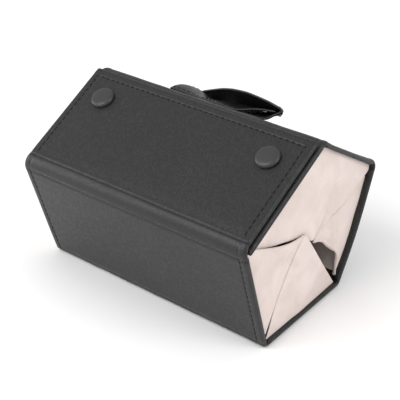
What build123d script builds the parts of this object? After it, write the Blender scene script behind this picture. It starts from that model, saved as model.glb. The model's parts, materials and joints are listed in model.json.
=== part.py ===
"""Folding five-sided jewelry box: a leather cover of six stiff panels that rolls up into a prism.

Frame: X runs along the prism, +Z is up, -Y is the front with the flap. The origin is the centre
of the bottom panel's underside. Lengths are millimetres, angles are degrees.
"""

import os
from math import atan2, cos, degrees, hypot, radians, sin

from build123d import *

os.makedirs("parts", exist_ok=True)

# Driving dimensions of the cover
PITCH = 78.0                # hinge axis to hinge axis, on the middle plane of the panels
CASE_LENGTH = 167.0
ANGLE_E = 106.5             # inside angle at the bottom front corner
ANGLE_D = 116.2             # inside angle at the bottom back corner
LEATHER = 0.9
BOARD = 2.0
LINING = 0.6
TURN_IN = 0.9               # leather wall left round the board
LAYER_GAP = 1.0             # air between the flap and the panel under it
HINGE_REACH = 2.05          # panel end to hinge axis
FLAP_SHORT = 3.0            # the flap is this much shorter than the case
FLAP_EDGE = 1.0             # free edge of the flap to corner A
INNER_EDGE = 3.0            # free edge of the inner front panel to the front panel

# Compartments
GUSSET = 0.8
GUSSET_INSET = 1.2          # outer layer of gussets, in from the panel ends
GUSSET_STEP = 1.4           # inner layer behind the outer one
GUSSET_FOOT = 6.0           # corner of a gusset to the hinge axis along its floor
GUSSET_TOP_SHORT = 1.5      # tips of the gussets stay this far from the common centre
LID_BOARD = 2.0
LID_CLOTH = 0.5
LID_TIP_GAP = 12.0          # free edge of a lid to the middle of the box
LID_SWING_GAP = 1.5         # a folding lid passes its neighbour this far off
LID_END_GAP = 4.5           # lid end to panel end
LID_FOOT = 7.0              # lid hinge axis to panel hinge axis along the floor
LID_CLEAR = 0.3
LID_STOP = 3.0              # a folded lid stays this many degrees off its floor

# Snap fasteners
SNAP_END = 22.0             # snap centre to the end of the case
SNAP_EDGE = 20.5            # snap centre to the flap's free edge
CAP_RADIUS = 7.5
CAP_HEIGHT = 3.0
CAP_RIM = 1.0
RIVET_RADIUS = 1.9
SOCKET_RADIUS = 5.8
SOCKET_ROOF = 0.5
SOCKET_SHY = 0.3            # socket face below the flap lining
STUD_FLANGE_RADIUS = 4.0
STUD_FLANGE = 0.6
STUD_RADIUS = 2.2
STUD_HEAD = 2.0
POST_RADIUS = 1.4
POST_FLANGE = 0.8
SNAP_CLEAR = 0.3

# Carrying strap on the top panel
STRAP_WIDTH = 22.0
STRAP = 1.8
STRAP_LEFT = -46.0          # folded end
STRAP_ROOT = -22.0          # bar tack, where the loop starts
STRAP_TIP = 28.0
STRAP_HUMP = 6.5
STRAP_ARCH = 15.0
STRAP_TIP_HIGH = 10.0
STRAP_ROOT_HIGH = 4.5
LOOP_BEND = 2.2
STRAP_CLEAR = 0.5

PANEL = LEATHER + BOARD + LINING
HALF = PANEL / 2
LID = LID_BOARD + 2 * LID_CLOTH
SNAP_X = CASE_LENGTH / 2 - SNAP_END


def step(point, angle, distance):
    """The point at a distance and angle from another, in the YZ plane."""
    return (point[0] + distance * cos(radians(angle)), point[1] + distance * sin(radians(angle)))


def apex(first, second, reach):
    """The point at the same reach from two points, on the left of the way between them."""
    y, z = second[0] - first[0], second[1] - first[1]
    half = hypot(y, z) / 2
    rise = (reach**2 - half**2) ** 0.5
    return (first[0] + y / 2 - z / (2 * half) * rise, first[1] + z / 2 + y / (2 * half) * rise)


def heading(start, end):
    """Angle of the way from one point to another."""
    return degrees(atan2(end[1] - start[1], end[0] - start[0]))


def crossing(start, angle, other, other_angle):
    """Where two lines in the YZ plane cross."""
    y, z = other[0] - start[0], other[1] - start[1]
    away = radians(other_angle)
    reach = (y * sin(away) - z * cos(away)) / sin(away - radians(angle))
    return step(start, angle, reach)


class Run:
    """A straight run of the cover from one hinge axis to the next, seen along X."""

    def __init__(self, start, end, length=CASE_LENGTH):
        self.start, self.end, self.length = start, end, length
        self.angle = heading(start, end)
        self.width = hypot(end[0] - start[0], end[1] - start[1])
        along = (0, cos(radians(self.angle)), sin(radians(self.angle)))
        out = (0, along[2], -along[1])
        self.plane = Plane(origin=(0, *start), x_dir=along, z_dir=out)

    def point(self, along, out):
        """A point of the YZ plane, from its place along the run and its height outwards."""
        return step(step(self.start, self.angle, along), self.angle - 90, out)

    def along(self, point):
        """How far along the run a point of the YZ plane is."""
        y, z = point[0] - self.start[0], point[1] - self.start[1]
        return y * cos(radians(self.angle)) + z * sin(radians(self.angle))


# Hinge axes of the section, and the runs between them
E = (-PITCH / 2, HALF)
D = (PITCH / 2, HALF)
F = step(E, ANGLE_E, PITCH)
B = step(D, 180 - ANGLE_D, PITCH)
A_OUTER = apex(F, B, PITCH)
CENTRE = tuple(sum(places) / 5 for places in zip(E, D, B, A_OUTER, F))

FLAP_OFFSET = PANEL + LAYER_GAP
INSIDE_F = step(F, heading(A_OUTER, F) + 90, FLAP_OFFSET)
A = crossing(B, heading(B, A_OUTER), INSIDE_F, heading(F, A_OUTER))
INNER_END = crossing(A, heading(A_OUTER, F), E, ANGLE_E)
FLAP_TIP = step(F, heading(F, A_OUTER), PITCH - FLAP_EDGE)

BOTTOM = Run(E, D)
BACK = Run(D, B)
TOP = Run(B, A)
INNER = Run(A, INNER_END)
FRONT = Run(F, E)
FLAP = Run(FLAP_TIP, F, CASE_LENGTH - FLAP_SHORT)


def finish(piece, name):
    """Labels a finished piece and writes it under its own name."""
    piece.part.label = name
    export_step(piece.part, f"parts/{name}.step")


def make_panel(name, run, low, high, outer_holes=None, pocket_holes=None):
    """A stiff panel: leather turned round a board, with a lining over the board."""
    inside = run.plane.offset(-HALF)
    spots = [(spot, place) for place in (outer_holes or []) for spot in (-SNAP_X, SNAP_X)]
    with BuildPart() as cover:
        with BuildSketch(inside):
            with Locations(((low + high) / 2, 0)):
                Rectangle(high - low, run.length)
        extrude(amount=PANEL)
        with BuildSketch(inside):
            with Locations(((low + high) / 2, 0)):
                Rectangle(high - low - 2 * TURN_IN, run.length - 2 * TURN_IN)
        extrude(amount=LINING + BOARD, mode=Mode.SUBTRACT)
        for spot, (along, radius) in spots:
            with BuildSketch(run.plane.offset(HALF)):
                with Locations((along, spot)):
                    Circle(radius)
            extrude(amount=-LEATHER, mode=Mode.SUBTRACT)
    finish(cover, f"{name}_cover")
    spots = [(spot, place) for place in (pocket_holes or []) for spot in (-SNAP_X, SNAP_X)]
    for layer, base, thick in (("lining", 0, LINING), ("board", LINING, BOARD)):
        with BuildPart() as sheet:
            with BuildSketch(inside.offset(base)):
                with Locations(((low + high) / 2, 0)):
                    Rectangle(high - low - 2 * TURN_IN, run.length - 2 * TURN_IN)
                for spot, (along, radii) in spots:
                    if radii[layer]:
                        with Locations((along, spot)):
                            Circle(radii[layer], mode=Mode.SUBTRACT)
            extrude(amount=thick)
        finish(sheet, f"{name}_{layer}")


def make_hinge(name, axis, arms):
    """A leather fold round a hinge axis, with a flat arm to each panel that it is sewn to."""
    with BuildPart() as fold:
        with BuildSketch(Plane.YZ):
            with Locations(axis):
                Circle(HALF)
            for arm in arms:
                with Locations(step(axis, arm, HINGE_REACH / 2)):
                    Rectangle(HINGE_REACH, PANEL, rotation=arm)
        extrude(amount=CASE_LENGTH / 2, both=True)
    finish(fold, name)


def lid_axis(run):
    """Axis of a compartment's lid, just above the far end of its floor."""
    return run.point(run.width - LID_FOOT, -(HALF + LID / 2 + LID_CLEAR))


def lid_width(run, neighbour):
    """Hinge axis to free edge: as wide as the middle of the box and the next lid allow."""
    reach = Run(lid_axis(run), CENTRE).width - LID_TIP_GAP
    beside = Run(lid_axis(neighbour), CENTRE)
    y, z = (a - b for a, b in zip(lid_axis(run), beside.start))
    room = abs(y * sin(radians(beside.angle)) - z * cos(radians(beside.angle)))
    return min(reach, room - LID - LID_SWING_GAP)


def make_lid(name, run, neighbour):
    """A cloth covered divider board with a rolled hinge edge, pointing at the middle of the box."""
    axis = lid_axis(run)
    plane = Run(axis, CENTRE).plane
    width = lid_width(run, neighbour)
    length = CASE_LENGTH - 2 * LID_END_GAP
    with BuildPart() as cloth:
        with BuildSketch(plane.offset(-LID / 2)):
            with Locations((width / 2, 0)):
                Rectangle(width, length)
        extrude(amount=LID)
        with BuildSketch(Plane.YZ):
            with Locations(axis):
                Circle(LID / 2)
        extrude(amount=length / 2, both=True)
        with BuildSketch(plane.offset(-LID_BOARD / 2)):
            with Locations(((LID / 2 + width - LID_CLOTH) / 2, 0)):
                Rectangle(width - LID_CLOTH - LID / 2, length - 2 * LID_CLOTH)
        extrude(amount=LID_BOARD, mode=Mode.SUBTRACT)
    finish(cloth, f"{name}_lid_cloth")
    with BuildPart() as board:
        with BuildSketch(plane.offset(-LID_BOARD / 2)):
            with Locations(((LID / 2 + width - LID_CLOTH) / 2, 0)):
                Rectangle(width - LID_CLOTH - LID / 2, length - 2 * LID_CLOTH)
        extrude(amount=LID_BOARD)
    finish(board, f"{name}_lid_board")


def make_gussets(name, run, inset):
    """The two cloth triangles that close the ends of a compartment, each a separate piece."""
    middle = run.point(run.width / 2, -HALF)
    tip = step(CENTRE, heading(CENTRE, middle), GUSSET_TOP_SHORT)
    corners = [run.point(GUSSET_FOOT, -HALF), run.point(run.width - GUSSET_FOOT, -HALF), tip]
    outer = CASE_LENGTH / 2 - inset
    for side, start in (("right", outer - GUSSET), ("left", -outer)):
        with BuildPart() as triangle:
            with BuildSketch(Plane.YZ.offset(start)):
                with BuildLine():
                    Polyline(*corners, close=True)
                make_face()
            extrude(amount=GUSSET)
        finish(triangle, f"{name}_gusset_{side}")


# Panels of the cover
SNAP_ON_FLAP = SNAP_EDGE
SNAP_ON_INNER = INNER.along(FLAP.point(SNAP_ON_FLAP, 0))
INNER_HIGH = INNER.width - HALF / sin(radians(FRONT.angle - INNER.angle)) - INNER_EDGE

make_panel("bottom", BOTTOM, HINGE_REACH, BOTTOM.width - HINGE_REACH)
make_panel("back", BACK, HINGE_REACH, BACK.width - HINGE_REACH)
make_panel("top", TOP, HINGE_REACH, TOP.width - HINGE_REACH)
make_panel(
    "inner_front", INNER, HINGE_REACH, INNER_HIGH,
    outer_holes=[(SNAP_ON_INNER, POST_RADIUS)],
    pocket_holes=[(SNAP_ON_INNER, {"lining": 0, "board": STUD_FLANGE_RADIUS + SNAP_CLEAR})],
)
make_panel("front", FRONT, HINGE_REACH, FRONT.width - HINGE_REACH)
make_panel(
    "flap", FLAP, 0, FLAP.width - HINGE_REACH,
    outer_holes=[(SNAP_ON_FLAP, RIVET_RADIUS)],
    pocket_holes=[(SNAP_ON_FLAP, {"lining": SOCKET_RADIUS, "board": SOCKET_RADIUS})],
)

# Leather folds. Those at E and F turn, so they are sewn to one panel and clear of the other.
make_hinge("fold_bottom_front", E, [BOTTOM.angle])
make_hinge("fold_bottom_back", D, [BOTTOM.angle + 180, BACK.angle])
make_hinge("fold_top_back", B, [BACK.angle + 180, TOP.angle])
make_hinge("fold_top_front", A, [TOP.angle + 180, INNER.angle])
make_hinge("fold_flap", F, [FRONT.angle])

# Compartments: floor panel, lid hinged at one end of it, and two gussets
INNER_LAYER = GUSSET_INSET + GUSSET_STEP
make_lid("front", FRONT, INNER)
make_lid("inner_front", INNER, TOP)
make_lid("top", TOP, BACK)
make_lid("back", BACK, BOTTOM)
make_lid("bottom", BOTTOM, FRONT)
make_gussets("front", FRONT, GUSSET_INSET)
make_gussets("bottom", BOTTOM, GUSSET_INSET)
make_gussets("back", BACK, INNER_LAYER)
make_gussets("top", TOP, INNER_LAYER)
make_gussets("inner_front", INNER, INNER_LAYER)


def make_snap_part(name, plane, along, discs, dome=0, bore=None):
    """One part of both snaps: stacked discs (radius, from, to), a rounded top and a bore."""
    with BuildPart() as parts:
        for spot in (-SNAP_X, SNAP_X):
            for radius, low, high in discs:
                with BuildSketch(plane.offset(low)):
                    with Locations((along, spot)):
                        Circle(radius)
                extrude(amount=high - low)
        if dome:
            top = parts.faces().sort_by(Axis(plane.origin, plane.z_dir))[-2:]
            fillet(top.edges(), dome)
        if bore:
            for spot in (-SNAP_X, SNAP_X):
                with BuildSketch(plane.offset(bore[1])):
                    with Locations((along, spot)):
                        Circle(bore[0])
                extrude(amount=bore[2] - bore[1], mode=Mode.SUBTRACT)
    finish(parts, name)


# Snaps: cap and socket in the flap, stud and its post in the panel below
LEATHER_FLOOR = HALF - LEATHER
SOCKET_FACE = -HALF + SOCKET_SHY
make_snap_part(
    "snap_caps", FLAP.plane, SNAP_ON_FLAP,
    [(RIVET_RADIUS, LEATHER_FLOOR, HALF), (CAP_RADIUS, HALF, HALF + CAP_HEIGHT)], dome=CAP_RIM,
)
make_snap_part(
    "snap_sockets", FLAP.plane, SNAP_ON_FLAP,
    [(SOCKET_RADIUS, SOCKET_FACE, LEATHER_FLOOR)],
    bore=(STUD_RADIUS + SNAP_CLEAR, SOCKET_FACE, LEATHER_FLOOR - SOCKET_ROOF),
)
STUD_TOP = HALF + STUD_FLANGE + STUD_HEAD
make_snap_part(
    "snap_studs", INNER.plane, SNAP_ON_INNER,
    [(STUD_FLANGE_RADIUS, HALF, HALF + STUD_FLANGE), (STUD_RADIUS, HALF + STUD_FLANGE, STUD_TOP)],
    bore=(POST_RADIUS, HALF, STUD_TOP),
)
make_snap_part(
    "snap_posts", INNER.plane, SNAP_ON_INNER,
    [
        (STUD_FLANGE_RADIUS, LEATHER_FLOOR - POST_FLANGE, LEATHER_FLOOR),
        (POST_RADIUS, LEATHER_FLOOR, STUD_TOP),
    ],
)

# Carrying strap: a folded end sewn to the top panel, and a flattened loop that lifts off it
STRAP_PLANE = Plane(
    origin=(0, *TOP.point(TOP.width / 2, HALF)), x_dir=(1, 0, 0), z_dir=TOP.plane.x_dir
)
STRAP_END = STRAP_ROOT - STRAP_CLEAR
HUMP_RIGHT = STRAP_LEFT + STRAP_HUMP / 2
with BuildPart() as strap_end:
    with BuildSketch(STRAP_PLANE):
        with BuildLine():
            Polyline((HUMP_RIGHT, 0), (STRAP_END, 0), (STRAP_END, STRAP))
            Spline(
                (STRAP_END, STRAP), (HUMP_RIGHT, STRAP_HUMP),
                tangents=[(-1, 0), (-1, 0)],
            )
            ThreePointArc(
                (HUMP_RIGHT, STRAP_HUMP), (STRAP_LEFT, STRAP_HUMP / 2), (HUMP_RIGHT, 0)
            )
        make_face()
    extrude(amount=STRAP_WIDTH / 2, both=True)
finish(strap_end, "strap_end")

LOOP_LEFT = STRAP_ROOT + STRAP_CLEAR
LOOP_LENGTH = STRAP_TIP - LOOP_LEFT
LOOP_OUTLINE = [
    (LOOP_LEFT, STRAP_CLEAR),
    (LOOP_LEFT + LOOP_LENGTH / 3, STRAP_CLEAR),
    (STRAP_TIP + LOOP_BEND, STRAP_TIP_HIGH),
    (LOOP_LEFT + 2 * LOOP_LENGTH / 3, STRAP_ARCH),
    (LOOP_LEFT + LOOP_LENGTH / 3, STRAP_ARCH),
    (LOOP_LEFT, STRAP_ROOT_HIGH),
]

with BuildPart() as strap_loop:
    with BuildSketch(STRAP_PLANE):
        with BuildLine():
            FilletPolyline(*LOOP_OUTLINE, radius=LOOP_BEND, close=True)
        make_face()
        offset(amount=-STRAP, mode=Mode.SUBTRACT)
    extrude(amount=STRAP_WIDTH / 2, both=True)
finish(strap_loop, "strap_loop")
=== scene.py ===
"""Looks of the folding jewelry box: leather cover, cloth compartments, snaps, strap and seams."""

import json
import logging
import math
from dataclasses import dataclass, field
from enum import Enum
from functools import cache

import bmesh
import bpy
import numpy as np
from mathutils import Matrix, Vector


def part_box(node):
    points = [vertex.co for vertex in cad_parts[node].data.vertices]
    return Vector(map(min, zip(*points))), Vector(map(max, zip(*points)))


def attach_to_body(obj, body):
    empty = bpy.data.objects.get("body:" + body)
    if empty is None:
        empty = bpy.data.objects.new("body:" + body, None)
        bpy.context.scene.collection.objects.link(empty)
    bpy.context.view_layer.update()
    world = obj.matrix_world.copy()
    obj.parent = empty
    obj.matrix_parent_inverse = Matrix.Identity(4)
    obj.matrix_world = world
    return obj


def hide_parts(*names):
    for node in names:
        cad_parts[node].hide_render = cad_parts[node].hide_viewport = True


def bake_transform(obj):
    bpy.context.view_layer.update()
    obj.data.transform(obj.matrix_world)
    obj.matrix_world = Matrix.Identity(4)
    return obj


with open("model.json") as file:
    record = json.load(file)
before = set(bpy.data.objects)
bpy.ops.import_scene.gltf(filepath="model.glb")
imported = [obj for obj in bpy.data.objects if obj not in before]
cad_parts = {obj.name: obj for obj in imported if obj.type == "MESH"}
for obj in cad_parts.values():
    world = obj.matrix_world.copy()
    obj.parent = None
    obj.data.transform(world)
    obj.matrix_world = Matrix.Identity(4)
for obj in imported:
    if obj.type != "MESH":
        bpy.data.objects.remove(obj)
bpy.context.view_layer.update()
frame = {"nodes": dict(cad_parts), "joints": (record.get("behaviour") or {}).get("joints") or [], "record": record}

log = logging.getLogger("jewelry_box")
Socket = bpy.types.NodeSocket
MM = 0.001
PATH_STEPS = 200            # samples of a gusset's edge
KNOT_ROWS = 8               # rows of the strap from one knot to the next
FAR = 99.0                  # distance that stands for no edge nearby, mm
HALF_PANEL = 1.75           # half the thickness of a panel: leather, board and lining, mm
EVEN_REACH = 66.0           # linings and lids are evenly divided this far from the middle, mm


# ---- small geometry helpers


def heading(angle: float) -> np.ndarray:
    """Unit vector in the YZ plane at an angle in degrees."""
    return np.array([math.cos(math.radians(angle)), math.sin(math.radians(angle))])


def angle_of(way: np.ndarray) -> float:
    """Angle in degrees of a vector in the YZ plane."""
    return math.degrees(math.atan2(way[1], way[0]))


def right_of(way: np.ndarray) -> np.ndarray:
    """The unit vector a quarter turn clockwise, which points out of the box along the cover."""
    return np.array([way[1], -way[0]])


def rounding(distance: np.ndarray | float, radius: float) -> np.ndarray | float:
    """Share of full thickness at a distance from a rounded edge.

    Args:
        distance: from the edge, in millimetres.
        radius: of the rounding.

    Returns:
        0 at the edge, 1 from one radius in.
    """
    left = 1 - np.clip(np.asarray(distance, float) / radius, 0, 1)
    return np.sqrt(np.clip(1 - left**2, 0, 1))


def ridge(distance: np.ndarray | float, middle: float, width: float) -> np.ndarray | float:
    """A soft bump of height 1 at a middle distance."""
    return np.exp(-(((distance - middle) / width) ** 2))


def smooth_path(points: list, count: int) -> np.ndarray:
    """A Catmull-Rom curve through points.

    Args:
        points: the knots, each a tuple of any length.
        count: how many samples, evenly spread over the knots.

    Returns:
        The samples, one a row.
    """
    knots = np.array(points, float)
    knots = np.vstack([2 * knots[0] - knots[1], knots, 2 * knots[-1] - knots[-2]])
    samples = []
    for place in np.linspace(0, len(points) - 1 - 1e-9, count):
        k, t = int(place), place - int(place)
        p0, p1, p2, p3 = knots[k : k + 4]
        samples.append(
            0.5 * (2 * p1 + (p2 - p0) * t + (2 * p0 - 5 * p1 + 4 * p2 - p3) * t**2
                   + (3 * p1 - p0 - 3 * p2 + p3) * t**3)
        )
    return np.array(samples)


def spaced(steps: np.ndarray, half: float, middle: np.ndarray) -> np.ndarray:
    """Places along the case: close together at both ends, evenly spread between.

    Args:
        steps: distances from an end.
        half: half the length.
        middle: the places between.

    Returns:
        All the places, in order.
    """
    return np.concatenate([-(half - steps), middle, (half - steps)[::-1]])


def raised(place: np.ndarray, out: np.ndarray, x: np.ndarray, high: np.ndarray) -> np.ndarray:
    """Grid of points over a surface that runs along the case.

    Args:
        place: of each row in the YZ plane.
        out: outward vector, one for all rows or one each.
        x: of the columns, one set for all rows or one each.
        high: how far each point stands out.

    Returns:
        Rows x columns x 3.
    """
    out = np.broadcast_to(out, place.shape)[:, None]
    x = np.broadcast_to(x, high.shape)[..., None]
    return np.concatenate([x, place[:, None] + out * high[..., None]], axis=-1)


# ---- finishes


def linear(hex_colour: str) -> tuple[float, float, float, float]:
    """sRGB hex to a linear colour with alpha."""
    parts = [int(hex_colour[i : i + 2], 16) / 255 for i in (1, 3, 5)]
    return (*(c / 12.92 if c <= 0.04045 else ((c + 0.055) / 1.055) ** 2.4 for c in parts), 1.0)


def add_node(
    tree: bpy.types.NodeTree, kind: str, settings: dict | None = None, inputs: dict | None = None
) -> bpy.types.Node:
    """Adds a node to a tree.

    Args:
        tree: where it goes.
        kind: its bl_idname.
        settings: attribute name to value.
        inputs: socket name or number to a value, or to an output socket to link.

    Returns:
        The node.
    """
    node = tree.nodes.new(kind)
    for key, value in (settings or {}).items():
        setattr(node, key, value)
    for key, value in (inputs or {}).items():
        if isinstance(value, Socket):
            tree.links.new(value, node.inputs[key])
        else:
            node.inputs[key].default_value = value
    return node


class Shading:
    """One material: its node tree, and the few kinds of node that the finishes share."""

    def __init__(self, name: str) -> None:
        """Starts with the shader, the output and Object coordinates."""
        self.material = bpy.data.materials.new(name)
        self.material.use_nodes = True
        self.tree = self.material.node_tree
        self.tree.nodes.clear()
        self.shader = add_node(self.tree, "ShaderNodeBsdfPrincipled")
        add_node(self.tree, "ShaderNodeOutputMaterial", inputs={"Surface": self.shader.outputs["BSDF"]})
        self.place = self.add("ShaderNodeTexCoord", output="Object")

    def add(
        self, kind: str, settings: dict | None = None, inputs: dict | None = None, output: int | str = 0
    ) -> Socket:
        """Adds a node as add_node does, and gives one of its outputs."""
        return add_node(self.tree, kind, settings, inputs).outputs[output]

    def noise(
        self, scale: float, detail: float, place: Socket | None = None, distortion: float = 0.0
    ) -> Socket:
        """Noise over the surface, as a socket. The place is Object coordinates if none is given."""
        inputs = {"Vector": place or self.place, "Scale": scale, "Detail": detail}
        return self.add("ShaderNodeTexNoise", inputs={**inputs, "Distortion": distortion})

    def blend(self, first: Socket, weight: float, second: Socket) -> Socket:
        """The first value times its weight, plus the second."""
        return self.add("ShaderNodeMath", {"operation": "MULTIPLY_ADD"}, {0: first, 1: weight, 2: second})

    def ramp(self, value: Socket, low: tuple, high: tuple, start: float, end: float) -> Socket:
        """A ramp from one colour to another between two values of a socket."""
        ramp = add_node(self.tree, "ShaderNodeValToRGB", inputs={"Fac": value})
        for stop, place, colour in zip(ramp.color_ramp.elements, (start, end), (low, high)):
            stop.position, stop.color = place, colour
        return ramp.outputs["Color"]

    def spread(
        self, value: Socket, low: float, high: float, start: float = 0.0, end: float = 1.0
    ) -> Socket:
        """A value between start and end, spread over another range."""
        inputs = {"Value": value, "From Min": start, "From Max": end, "To Min": low, "To Max": high}
        return self.add("ShaderNodeMapRange", inputs=inputs)

    def bump(self, height: Socket, strength: float, depth: float, below: Socket | None = None) -> Socket:
        """Relief of a depth in millimetres, over another relief if one is given."""
        inputs = {"Strength": strength, "Distance": depth * MM, "Height": height}
        return self.add("ShaderNodeBump", inputs=inputs | ({"Normal": below} if below else {}))

    def done(self, **sockets: Socket | float) -> bpy.types.Material:
        """Sets or links the shader's sockets, named with _ for a space.

        Args:
            sockets: a value, or an output socket to link.

        Returns:
            The finished material.
        """
        for key, value in sockets.items():
            socket = self.shader.inputs[key.replace("_", " ")]
            if isinstance(value, Socket):
                self.tree.links.new(value, socket)
            else:
                socket.default_value = value
        return self.material


@dataclass(frozen=True)
class CoatedLeather:
    """Coated split leather, embossed with a pebble grain: a dull sheen broken up by the grain."""

    name: str
    base: str                # between the pores
    pore: str                # in the creases of the grain
    grain: float             # width of one pebble, mm
    stretch: float           # pebbles are this much longer up the panel
    relief: float            # depth of the embossing, mm
    roughness: float

    def build(self) -> bpy.types.Material:
        """The finished material."""
        made = Shading(self.name)
        scale = (1.0, 1.0 / self.stretch, 1.0 / self.stretch)
        stretched = made.add("ShaderNodeMapping", inputs={"Vector": made.place, "Scale": scale})
        pebbles = made.add(
            "ShaderNodeTexVoronoi", {"feature": "SMOOTH_F1"},
            {"Vector": stretched, "Scale": 1000 / self.grain, "Smoothness": 0.35},
        )
        creases = made.noise(420 / self.grain, 5.0, stretched)
        clouds = made.noise(28.0, 3.0)
        tone = made.blend(pebbles, 0.8, creases)
        grain = made.ramp(tone, linear(self.base), linear(self.pore), 0.55, 1.1)
        shade = made.ramp(clouds, (0.86, 0.86, 0.86, 1), (1.12, 1.11, 1.11, 1), 0.35, 0.68)
        mixed = made.add(
            "ShaderNodeMix", {"data_type": "RGBA", "blend_type": "MULTIPLY"},
            {"Factor": 1.0, 6: grain, 7: shade}, output=2,
        )
        coarse = made.bump(pebbles, 0.7, self.relief)
        return made.done(
            Base_Color=mixed,
            Roughness=made.spread(creases, self.roughness - 0.05, self.roughness + 0.07, 0.3, 0.7),
            Normal=made.bump(creases, 0.5, self.relief, coarse), IOR=1.48,
        )


@dataclass(frozen=True)
class BrushedCloth:
    """Brushed polyester suede: a short nap, so it is matt, soft at grazing angles and mottled."""

    name: str
    light: str
    dark: str
    nap: float = 0.45        # width of a tuft, mm, a little coarser than life so that it shows

    def build(self) -> bpy.types.Material:
        """The finished material."""
        made = Shading(self.name)
        tufts = made.noise(1000 / self.nap, 3.0)
        brushed = made.noise(55.0, 4.0, distortion=0.8)
        tone = made.blend(tufts, 0.45, brushed)
        return made.done(
            Base_Color=made.ramp(tone, linear(self.dark), linear(self.light), 0.45, 0.95),
            Normal=made.bump(tufts, 0.5, 0.12), Roughness=0.92, Sheen_Weight=0.25,
            Sheen_Roughness=0.5, Specular_IOR_Level=0.25,
        )


@dataclass(frozen=True)
class TwistedThread:
    """Bonded polyester sewing thread: fine diagonal plies with a little shine."""

    name: str
    colour: str

    def build(self) -> bpy.types.Material:
        """The finished material."""
        made = Shading(self.name)
        plies = made.add(
            "ShaderNodeTexWave", {"bands_direction": "DIAGONAL"},
            {"Vector": made.place, "Scale": 900.0}, output="Fac",
        )
        low, high = linear(self.colour), tuple(min(1.0, 1.9 * c) for c in linear(self.colour))
        return made.done(
            Base_Color=made.ramp(plies, low, high, 0.2, 0.9), Normal=made.bump(plies, 0.6, 0.05),
            Roughness=0.6, Specular_IOR_Level=0.2,
        )


@dataclass(frozen=True)
class SolidFinish:
    """Plain stock with a fine grain: lacquered cap, plated brass, pressed greyboard or paint."""

    name: str
    base: str
    fleck: str
    grain: float             # mm
    roughness: float
    metallic: float = 0.0
    relief: float = 0.01     # mm

    def build(self) -> bpy.types.Material:
        """The finished material."""
        made = Shading(self.name)
        flecks = made.noise(1000 / self.grain, 4.0)
        return made.done(
            Base_Color=made.ramp(flecks, linear(self.base), linear(self.fleck), 0.4, 0.7),
            Roughness=made.spread(flecks, self.roughness - 0.06, self.roughness + 0.06),
            Normal=made.bump(flecks, 0.5, self.relief), Metallic=self.metallic,
        )


class Finish(Enum):
    """Every finish of the box: its slot in the record, and a word of its own after a dot."""

    LEATHER = "black_leather"
    SMOOTH_LEATHER = "black_leather.smooth"
    STRAP_LEATHER = "black_leather.strap"
    THREAD = "black_leather.thread"
    CLOTH = "suede_cloth"
    BOARD = "greyboard"
    CAP = "snap_cap"
    METAL = "snap_metal"

    @property
    def slot(self) -> str:
        """The slot in the record."""
        return self.value.split(".")[0]


FINISHES = {
    Finish.LEATHER: CoatedLeather(
        "leather_pebbled", "#242324", "#121212", grain=1.0, stretch=1.6, relief=0.16, roughness=0.47
    ),
    Finish.SMOOTH_LEATHER: CoatedLeather(
        "leather_smooth", "#242425", "#161617", grain=0.8, stretch=1.2, relief=0.06, roughness=0.42
    ),
    Finish.STRAP_LEATHER: CoatedLeather(
        "leather_strap", "#2e2e2f", "#181819", grain=0.9, stretch=1.2, relief=0.10, roughness=0.42
    ),
    Finish.CLOTH: BrushedCloth("brushed_suede_cloth", "#e3d5cf", "#d2c1bb"),
    Finish.THREAD: TwistedThread("bonded_thread_black", "#060607"),
    Finish.BOARD: SolidFinish("pressed_greyboard", "#8f8a83", "#a8a29a", 0.9, 0.9, relief=0.05),
    Finish.CAP: SolidFinish("lacquered_snap_cap", "#2c2b2c", "#323132", 0.35, 0.38, relief=0.006),
    Finish.METAL: SolidFinish("plated_brass", "#8d8577", "#a39a88", 0.5, 0.3, metallic=1.0),
}


@cache
def material_of(finish: Finish) -> bpy.types.Material:
    """The material of a finish, built once."""
    return FINISHES[finish].build()


def attach(piece: bpy.types.Object, finish: Finish, body: str = "", nodes: tuple = ()) -> bpy.types.Object:
    """Hides the CAD nodes that a piece stands for and puts it on its body.

    Args:
        piece: the piece.
        finish: not used.
        body: that it rides on, if it is one body.
        nodes: CAD nodes that it stands for.

    Returns:
        The same piece.
    """
    if nodes:
        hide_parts(*nodes)
    if body:
        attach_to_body(piece, body)
    log.info("%s: %d faces", piece.name, len(piece.data.polygons))
    return piece


def make_mesh(name: str, points: np.ndarray, faces: list, finish: Finish, *place) -> bpy.types.Object:
    """A closed, smooth piece from points in millimetres.

    Args:
        name: of the piece.
        points: one a row, x y z.
        faces: lists of point numbers.
        finish: its finish.
        place: its body and the CAD nodes that it stands for, as attach takes them.

    Returns:
        The linked object, at the origin.
    """
    mesh = bpy.data.meshes.new(name)
    mesh.from_pydata((np.asarray(points) * MM).tolist(), [], faces)
    shape = bmesh.new()
    shape.from_mesh(mesh)
    bmesh.ops.remove_doubles(shape, verts=shape.verts, dist=2e-6)
    bmesh.ops.dissolve_degenerate(shape, edges=shape.edges, dist=1e-7)
    bmesh.ops.recalc_face_normals(shape, faces=shape.faces)
    shape.to_mesh(mesh)
    shape.free()
    mesh.shade_smooth()
    mesh.materials.append(material_of(finish))
    piece = bpy.data.objects.new(name, mesh)
    bpy.context.scene.collection.objects.link(piece)
    return attach(piece, finish, *place)


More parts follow.
